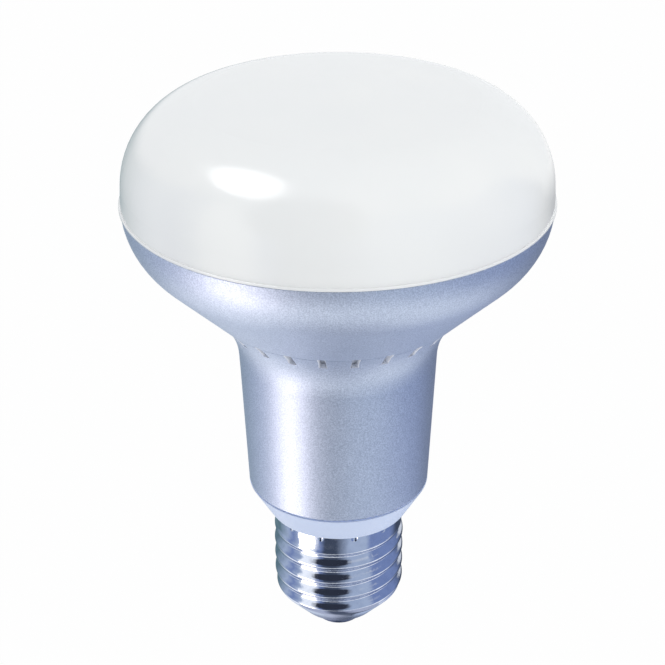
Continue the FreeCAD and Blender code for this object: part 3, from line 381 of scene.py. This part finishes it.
# %% Driver board: resin and mask
normal = add_node(tree, "NewGeometry").outputs["Normal"]
facing = add_node(tree, "SeparateXYZ", normal).outputs["Y"]
front = add_node(tree, "MapRange", facing, 0.5, 0.8)
back = add_node(tree, "MapRange", facing, -0.5, -0.8)
tan = add_node(tree, "Mix", weave, linear("#C3A36A"), linear("#CDB07B"), data_type="RGBA")
green = add_node(tree, "Mix", tracks, linear("#24553A"), linear("#2F7449"), data_type="RGBA")
sides = add_node(tree, "Mix", front, linear("#D6C196"), tan, data_type="RGBA")
colour = add_node(tree, "Mix", back, sides, green, data_type="RGBA")
roughness = add_node(tree, "MapRange", back, 0.0, 1.0, 0.55, 0.3)
shallow = add_node(tree, "Math", weave, 0.3, operation="MULTIPLY")
relief = add_node(tree, "Mix", back, shallow, tracks)
bump = add_node(tree, "Bump", Height=relief, Distance=0.035 * mm, Strength=0.7)
surface = add_node(tree, "BsdfPrincipled", Base_Color=colour, Roughness=roughness, Normal=bump)
add_node(tree, "OutputMaterial", surface)

# %% [markdown]
# Parts with wire leads share one idea: a mask tells coating from tinned wire, and each part only
# brings its own coating. Where the body stands in front of the board, anything behind the body is
# wire, so the mask follows y. Chips lie flat on the board with legs out of two sides, so theirs
# follows x.

# %% Coatings over tinned leads
body_back = -0.1 * mm        # bodies start here, and the board's front is 0.3 mm behind


def coat(tree, place, wire, colours, roughness, grain_size, grain_depth):
    """A coating of two close colours, and tinned copper where the wire mask is 1."""
    grain = add_node(tree, "TexNoise", place, Scale=1 / grain_size, Detail=3.0)
    coating = add_node(tree, "Mix", grain, linear(colours[0]), linear(colours[1]), data_type="RGBA")
    tinned = add_node(tree, "Mix", grain, linear("#BDBFC2"), linear("#D0D1D2"), data_type="RGBA")
    colour = add_node(tree, "Mix", wire, coating, tinned, data_type="RGBA")
    satin = add_node(tree, "MapRange", wire, 0.0, 1.0, roughness, 0.28)
    bump = add_node(tree, "Bump", Height=grain, Distance=grain_depth, Strength=0.6)
    surface = add_node(tree, "BsdfPrincipled", Base_Color=colour, Metallic=wire, Roughness=satin,
                       Normal=bump)
    add_node(tree, "OutputMaterial", surface)


def standing_part(name, pieces, colours, roughness, grain_size, grain_depth):
    tree, place = new_finish(name, *pieces)
    y = add_node(tree, "SeparateXYZ", place).outputs["Y"]
    wire = add_node(tree, "MapRange", y, body_back, body_back - 0.02 * mm)
    coat(tree, place, wire, colours, roughness, grain_size, grain_depth)


# %% [markdown]
# The film capacitor has a glossy moulded case. The varistor is dipped in epoxy, which sets with a
# slow swell like thick paint. Ferrite is pressed powder, fired like a pot: dark grey, matt and fine.
# The bobbin is phenolic resin, which has a faint sheen.

# %% Standing parts
standing_part("film_capacitor_case_glossy", ["film_capacitor"], ("#D9AE1F", "#E0B930"), 0.25,
              1.5 * mm, 0.02 * mm)
standing_part("varistor_epoxy_dipped", ["varistor"], ("#16356F", "#1D4285"), 0.22, 1.1 * mm, 0.1 * mm)
standing_part("ferrite_sintered", ["choke_core", "transformer_core"], ("#2B2B2E", "#3A3A3D"), 0.6,
              0.15 * mm, 0.02 * mm)
standing_part("phenolic_moulded_black", ["transformer_bobbin"], ("#121214", "#1B1B1E"), 0.4,
              0.4 * mm, 0.02 * mm)

# %% [markdown]
# The chips behind the board are black epoxy, shot-blasted to a dry matt, with tinned legs out of
# their two long sides. The legs start where x passes the body's half width.

# %% Epoxy packages
chips = {"bridge_rectifier": (1.5 * mm, 2.1 * mm), "driver_chip": (-3.5 * mm, 1.95 * mm),
         "output_diode": (8.5 * mm, 2.2 * mm)}
for piece, (middle_x, half_width) in chips.items():
    tree, place = new_finish("epoxy_on_" + piece, piece)
    x = add_node(tree, "SeparateXYZ", place).outputs["X"]
    gap = add_node(tree, "Math", x, middle_x, operation="SUBTRACT")
    away = add_node(tree, "Math", gap, operation="ABSOLUTE")
    legs = add_node(tree, "MapRange", away, half_width, half_width + 0.01 * mm)
    coat(tree, place, legs, ("#17181A", "#222326"), 0.62, 0.12 * mm, 0.02 * mm)

# %% [markdown]
# The fused resistor lies along z, so its coating ends where z leaves its nine millimetre body. Its
# flameproof coating is matt and slightly pitted, with the usual rings of colour round it, which give
# its value in the common code and are not lettering.

# %% Fused resistor
fuse_middle, fuse_half = 22.5 * mm, 4.5 * mm
band_half = 0.42 * mm
fuse_bands = ((-2.7, "#B03A2A"), (-1.3, "#1D1D1F"), (0.1, "#1D1D1F"), (2.4, "#B8923A"))
tree, place = new_finish("flameproof_resistor_coating", "fuse_resistor")
z = add_node(tree, "SeparateXYZ", place).outputs["Z"]
along = add_node(tree, "Math", z, fuse_middle, operation="SUBTRACT")
away = add_node(tree, "Math", along, operation="ABSOLUTE")
wire = add_node(tree, "MapRange", away, fuse_half, fuse_half + 0.02 * mm)
pits = add_node(tree, "TexNoise", place, Scale=1 / (0.3 * mm), Detail=3.0)
colour = add_node(tree, "Mix", pits, linear("#5C8797"), linear("#6B97A6"), data_type="RGBA")
for height, code in fuse_bands:
    gap = add_node(tree, "Math", along, height * mm, operation="SUBTRACT")
    away = add_node(tree, "Math", gap, operation="ABSOLUTE")
    band = add_node(tree, "MapRange", away, band_half, band_half - 0.04 * mm)
    colour = add_node(tree, "Mix", band, colour, linear(code), data_type="RGBA")
colour = add_node(tree, "Mix", wire, colour, linear("#C4C6C8"), data_type="RGBA")
roughness = add_node(tree, "MapRange", wire, 0.0, 1.0, 0.55, 0.28)
bump = add_node(tree, "Bump", Height=pits, Distance=0.03 * mm, Strength=0.6)
surface = add_node(tree, "BsdfPrincipled", Base_Color=colour, Metallic=wire, Roughness=roughness,
                   Normal=bump)
add_node(tree, "OutputMaterial", surface)

# %% [markdown]
# The two electrolytic capacitors are aluminium cans in shrunk dark sleeves. The sleeve wraps a little
# way over the top and leaves a bare disc, stamped with a cross that lets go if the can ever boils.
# A pale stripe down one side marks the negative lead. Both cans stand on the board along y, so x and
# z from the can's axis, and y up the can, place all of it.

# %% Electrolytic capacitors: masks
lip = 0.9 * mm               # how far the sleeve wraps over the top
cross_half = 0.16 * mm
stripe_half = 0.9 * mm
step = 0.04 * mm             # width of each mask's soft edge


def can_masks(tree, place, middle_x, middle_z, radius, height):
    """Masks for bare metal, the stripe and the stamped cross."""
    can_axis = add_node(tree, "VectorMath", place, (middle_x, 0, middle_z), operation="SUBTRACT")
    split = add_node(tree, "SeparateXYZ", can_axis)
    dx, y, dz = split.outputs["X"], split.outputs["Y"], split.outputs["Z"]
    flat = add_node(tree, "VectorMath", can_axis, (1, 0, 1), operation="MULTIPLY")
    reach = add_node(tree, "VectorMath", flat, operation="LENGTH")
    top = body_back + height
    at_top = add_node(tree, "MapRange", y, top - 3 * step, top - 2 * step)
    inside = add_node(tree, "MapRange", reach, radius - lip, radius - lip - step)
    disc = add_node(tree, "Math", at_top, inside, operation="MULTIPLY")
    wire = add_node(tree, "MapRange", y, body_back, body_back - step)
    metal = add_node(tree, "Math", disc, wire, operation="MAXIMUM")
    off_x = add_node(tree, "Math", dx, operation="ABSOLUTE")
    off_z = add_node(tree, "Math", dz, operation="ABSOLUTE")
    one_side = add_node(tree, "MapRange", dx, 0.3 * radius, 0.35 * radius)
    narrow = add_node(tree, "MapRange", off_z, stripe_half, stripe_half - step)
    stripe = add_node(tree, "Math", narrow, one_side, operation="MULTIPLY")
    nearest = add_node(tree, "Math", off_x, off_z, operation="MINIMUM")
    arms = add_node(tree, "MapRange", nearest, cross_half, cross_half - step)
    cross = add_node(tree, "Math", arms, disc, operation="MULTIPLY")
    return metal, stripe, cross


# %% Electrolytic capacitors: finish
cans = {"input_capacitor": (-6.2 * mm, 56.5 * mm, 4.0 * mm, 11.2 * mm),
        "output_capacitor": (-7.2 * mm, 68.5 * mm, 3.15 * mm, 10.5 * mm)}
for piece, sizes in cans.items():
    tree, place = new_finish("shrunk_sleeve_on_" + piece, piece)
    metal, stripe, cross = can_masks(tree, place, *sizes)
    sleeve = add_node(tree, "Mix", stripe, linear("#141A2C"), linear("#B9BFC9"), data_type="RGBA")
    colour = add_node(tree, "Mix", metal, sleeve, linear("#C9CBCE"), data_type="RGBA")
    roughness = add_node(tree, "MapRange", metal, 0.0, 1.0, 0.3, 0.34)
    shrink = add_node(tree, "TexNoise", place, Scale=1 / (1.4 * mm))
    swell = add_node(tree, "Math", shrink, 0.5, operation="MULTIPLY")
    relief = add_node(tree, "Math", swell, cross, operation="SUBTRACT")
    bump = add_node(tree, "Bump", Height=relief, Distance=0.1 * mm, Strength=0.7)
    surface = add_node(tree, "BsdfPrincipled", Base_Color=colour, Metallic=metal, Roughness=roughness,
                       Normal=bump)
    add_node(tree, "OutputMaterial", surface)

# %% [markdown]
# Both coils are enamelled copper. The enamel is a clear brown film, so the wire is coppery and
# glossy, and side by side its turns make fine round ridges. The choke is wound round y and the
# transformer round z, so the ridges follow those two axes.

# %% Enamelled copper
wire_pitch = 0.42 * mm
for piece, axis in (("choke_winding", "Y"), ("transformer_winding", "Z")):
    tree, place = new_finish("enamelled_copper_on_" + piece, piece)
    along = add_node(tree, "SeparateXYZ", place).outputs[axis]
    slack = add_node(tree, "TexNoise", place, Scale=1 / (2.5 * mm), Detail=1.0)
    laid = add_node(tree, "Math", slack, 0.25 * mm, along, operation="MULTIPLY_ADD")
    phase = add_node(tree, "Math", laid, math.pi / wire_pitch, operation="MULTIPLY")
    wave = add_node(tree, "Math", phase, operation="SINE")
    turns = add_node(tree, "Math", wave, operation="ABSOLUTE")
    colour = add_node(tree, "Mix", turns, linear("#5E2410"), linear("#B4622F"), data_type="RGBA")
    bump = add_node(tree, "Bump", Height=turns, Distance=0.12 * mm, Strength=0.9)
    surface = add_node(tree, "BsdfPrincipled", Base_Color=colour, Metallic=0.9, Roughness=0.26,
                       Normal=bump, Coat_Weight=0.6, Coat_Roughness=0.08)
    add_node(tree, "OutputMaterial", surface)

# %% [markdown]
# The short wires have silicone sleeves. Extrusion leaves very fine lines along them, which at this
# size read as a soft satin, so a stretched noise and a medium roughness are enough.

# %% Wire insulation
sleeves = {"red": (["live_lead", "led_lead_positive"], "#A81A14", "#8F1410"),
           "white": (["neutral_lead"], "#DAD9D4", "#CBCAC4"),
           "black": (["led_lead_negative"], "#111113", "#1B1B1D")}
for shade, (pieces, pale, deep) in sleeves.items():
    tree, place = new_finish(shade + "_silicone_extruded", *pieces)
    drawn = add_node(tree, "VectorMath", place, (1, 1, 0.15), operation="MULTIPLY")
    streak = add_node(tree, "TexNoise", drawn, Scale=1 / (0.3 * mm))
    colour = add_node(tree, "Mix", streak, linear(pale), linear(deep), data_type="RGBA")
    bump = add_node(tree, "Bump", Height=streak, Distance=0.02 * mm, Strength=0.4)
    surface = add_node(tree, "BsdfPrincipled", Base_Color=colour, Roughness=0.36, Normal=bump)
    add_node(tree, "OutputMaterial", surface)

# %% [markdown]
# ## The studio
#
# The photograph shows the lamp floating on plain white, so the floor lies well below it. It is pale
# and matt. Rays that the camera, a mirror or clear glass sends out find it glowing almost white by
# itself, which makes the background white without putting more light on the lamp.

# %% Floor
floor_height, floor_radius = -1.0, 6.0
floor_glow = 0.97            # share of the floor's white that does not depend on the lamps
bpy.ops.mesh.primitive_circle_add(vertices=64, radius=floor_radius, fill_type="NGON",
                                  location=(0, 0, floor_height))
floor = bpy.context.object
floor.name = "studio_floor"
tree, place = new_finish("white_painted_floor")
floor.data.materials.append(bpy.data.materials["white_painted_floor"])
paint = add_node(tree, "BsdfPrincipled", Base_Color=linear("#E4E4E4"), Roughness=0.9)
rays = add_node(tree, "LightPath")
seen = add_node(tree, "Math", rays.outputs["Is Camera Ray"], rays.outputs["Is Glossy Ray"],
                operation="MAXIMUM")
seen = add_node(tree, "Math", seen, rays.outputs["Is Transmission Ray"], operation="MAXIMUM")
share = add_node(tree, "Math", seen, floor_glow, operation="MULTIPLY")
glowing = add_node(tree, "Emission", linear("#FFFFFF"), 1.0)
add_node(tree, "OutputMaterial", add_node(tree, "MixShader", share, paint, glowing))
print("floor at", floor_height, "m, glow", floor_glow)

# %% [markdown]
# The lamps are softboxes. The overhead one is behind the lamp's left shoulder and makes the window
# on the dome. The tall strip at the left, low down, makes the bright band on bowl, neck and cap. The
# broad fill in front only opens the shadows, so mirrors don't see it, and the other two are only
# mirrored, because the white room already lights every side evenly.

# %% Lamps
studio_centre = Vector((0, 0, 0.06))


def softbox(name, azimuth, elevation, distance, size, brightness, colour="#FFFFFF"):
    """Azimuth 0 is in front of the lamp, 90 to its right. Brightness is what a mirror shows of it."""
    a, e = math.radians(azimuth), math.radians(elevation)
    away = Vector((math.sin(a) * math.cos(e), -math.cos(a) * math.cos(e), math.sin(e)))
    bpy.ops.object.light_add(type="AREA", location=studio_centre + distance * away)
    lamp = bpy.context.object
    lamp.name = name
    lamp.rotation_euler = (-away).to_track_quat("-Z", "Y").to_euler()
    lamp.data.shape = "ELLIPSE"
    lamp.data.size, lamp.data.size_y = size
    lamp.data.energy = brightness * math.pi * size[0] * size[1]
    lamp.data.color = linear(colour)[:3]
    lamp.visible_camera = False
    return lamp


overhead = softbox("overhead_softbox", -83, 59, 0.9, (0.58, 0.44), 3.2)
strip = softbox("left_strip", -60, -37, 0.62, (0.28, 0.36), 3.1, "#FFE9E2")
fill = softbox("broad_fill", 30, 10, 1.0, (1.0, 1.0), 0.4)
overhead.visible_diffuse = False
strip.visible_diffuse = False
fill.visible_glossy = False
print("lamps:", overhead.name, strip.name, fill.name)

# %% [markdown]
# A mirror shows everything round it, so a photographer surrounds shiny things with a tent of cloth,
# light in some directions and dark where the camera looks in. This tent is a ball that only
# reflections see. Its cloths are five plain colours, hung by what each side has to do: a white strip
# at the left, dark behind the camera and at the back on the right, silver in front to the right,
# blue at the right, teal behind. The alpha of the colour ramp holds how high each reaches, so the
# lamps and the bright room show above. Another ramp goes round below, where the white table is. A
# dark shape on the cloth stands in for what is near the camera.

# %% Things that only mirrors see
def only_mirrored(thing, name):
    thing.name = name
    for seen_by in ("visible_camera", "visible_diffuse", "visible_shadow", "visible_transmission"):
        setattr(thing, seen_by, False)
    tree, place = new_finish(name + "_finish")
    thing.data.materials.append(bpy.data.materials[name + "_finish"])
    return tree, place


# %% Tent: its cloth, panel by panel
tent_radius = 0.95
side_brightness, table_brightness = 1.35, 1.36
white, silver_grey, blue, teal, dark = "#FFFFFF", "#A8B4C8", "#7888B0", "#607880", "#404858"
side_panels = ((-180, teal, -5), (-135, teal, 10), (-105, silver_grey, 25), (-90, blue, 35),
               (-75, silver_grey, 40), (-70, white, 40), (-45, white, 40), (-35, blue, 45),
               (-25, dark, 50), (-5, dark, 50), (20, silver_grey, 45), (50, silver_grey, 40),
               (60, blue, 35), (105, blue, 30), (130, dark, -5), (160, dark, -15), (180, teal, -5))
table_panels = ((-180, silver_grey), (-110, white), (100, white), (150, blue), (180, silver_grey))
table_edge = (-35, -46)      # elevations between which the sides give way to the table
cloth_fade = 0.04            # softness of the cloths' top edges, as a share of the tent's height
dark_shape = (-0.23, -0.71, 0.59)       # its middle on the cloth, above the camera and to its left
shape_edge = (0.5, 0.38)     # distances from its middle between which it fades in
print("cloths:", len({panel[1] for panel in side_panels + table_panels}))

# %% Tent
bpy.ops.mesh.primitive_uv_sphere_add(segments=96, ring_count=48, radius=tent_radius, location=(0, 0, 0))
tree, place = only_mirrored(bpy.context.object, "reflection_tent")
turned = add_node(tree, "Mapping", place, Rotation=(0, 0, math.pi / 2))
way_round = add_node(tree, "TexGradient", turned, gradient_type="RADIAL").outputs["Fac"]
z = add_node(tree, "SeparateXYZ", place).outputs["Z"]
height = add_node(tree, "MapRange", z, -tent_radius, tent_radius)
ramps = []
for panels in (side_panels, table_panels):
    ramp = add_node(tree, "ValToRGB", way_round)
    elements = ramp.color_ramp.elements
    while len(elements) < len(panels):
        elements.new(0.5)
    for element, panel in zip(elements, panels):
        element.position = panel[0] / 360 + 0.5
    for element, panel in zip(elements, panels):
        top = panel[2] if len(panel) > 2 else 90
        element.color = linear(panel[1], 0.5 + math.sin(math.radians(top)) / 2)
    ramps.append(ramp)
print("tent panels:", len(side_panels), "round the sides,", len(table_panels), "below")

# %% Tent: light it gives
sides, table = ramps
edges = [0.5 + math.sin(math.radians(elevation)) / 2 for elevation in table_edge]
below = add_node(tree, "MapRange", height, *edges)
over = add_node(tree, "Math", height, sides.outputs["Alpha"], operation="SUBTRACT")
cloth = add_node(tree, "MapRange", over, cloth_fade, -cloth_fade)
away = add_node(tree, "VectorMath", place, dark_shape, operation="DISTANCE")
shape = add_node(tree, "MapRange", away, *shape_edge)
covered = add_node(tree, "Math", cloth, shape, operation="MAXIMUM")
colour = add_node(tree, "Mix", below, sides, table, data_type="RGBA")
colour = add_node(tree, "Mix", shape, colour, linear("#303440"), data_type="RGBA")
strength = add_node(tree, "MapRange", below, 0.0, 1.0, side_brightness, table_brightness)
glow = add_node(tree, "Emission", colour, strength)
clear = add_node(tree, "BsdfTransparent")
add_node(tree, "OutputMaterial", add_node(tree, "MixShader", covered, clear, glow))

# %% [markdown]
# Close below the lamp lies a small blue-grey card that glows and that only mirrors see, with a dark
# stripe across it, front to back; the stripe is painted shade. Being near, it shows in the cap and the
# cone above it, and hardly in the rim.

# %% Card below the lamp
card_radius = 0.056
card_place = (0, -0.02, -0.06)
card_slant = 0.3             # how far the stripe's middle moves right for each metre towards the back
shade_stripe_edge = (0.02, 0.008)  # distances from the stripe's middle between which it fades in
bpy.ops.mesh.primitive_circle_add(vertices=64, radius=card_radius, fill_type="NGON",
                                  location=card_place)
tree, place = only_mirrored(bpy.context.object, "mirrored_card")
split = add_node(tree, "SeparateXYZ", place)
across = add_node(tree, "Math", split.outputs["Y"], -card_slant, split.outputs["X"],
                  operation="MULTIPLY_ADD")
off = add_node(tree, "Math", across, operation="ABSOLUTE")
# The dark stripe is painted shade.
stripe = add_node(tree, "MapRange", off, *shade_stripe_edge)
colour = add_node(tree, "Mix", stripe, linear("#C4CADE"), linear("#5E6678"), data_type="RGBA")
add_node(tree, "OutputMaterial", add_node(tree, "Emission", colour, 1.0))

# %% [markdown]
# The room itself is plain white and lights the lamp evenly from every side, at a level where a white
# card renders almost white. What the camera sees of it, past the floor, is as white as the floor.

# %% World
room_level, backdrop_level = 1.05, 0.99
world = bpy.data.worlds.new("studio")
bpy.context.scene.world = world
world.use_nodes = True
tree = world.node_tree
tree.nodes.clear()
room = add_node(tree, "Background", linear("#F1F3F6"), room_level)
backdrop = add_node(tree, "Background", linear("#FFFFFF"), backdrop_level)
rays = add_node(tree, "LightPath")
seen = add_node(tree, "Math", rays.outputs["Is Camera Ray"], rays.outputs["Is Transmission Ray"],
                operation="MAXIMUM")
both = add_node(tree, "MixShader", seen, room, backdrop)
add_node(tree, "OutputWorld", both)
bpy.context.scene.view_settings.view_transform = "Standard"
print("room level:", room_level, "backdrop level:", backdrop_level)

# %% Update the view layer
bpy.context.view_layer.update()
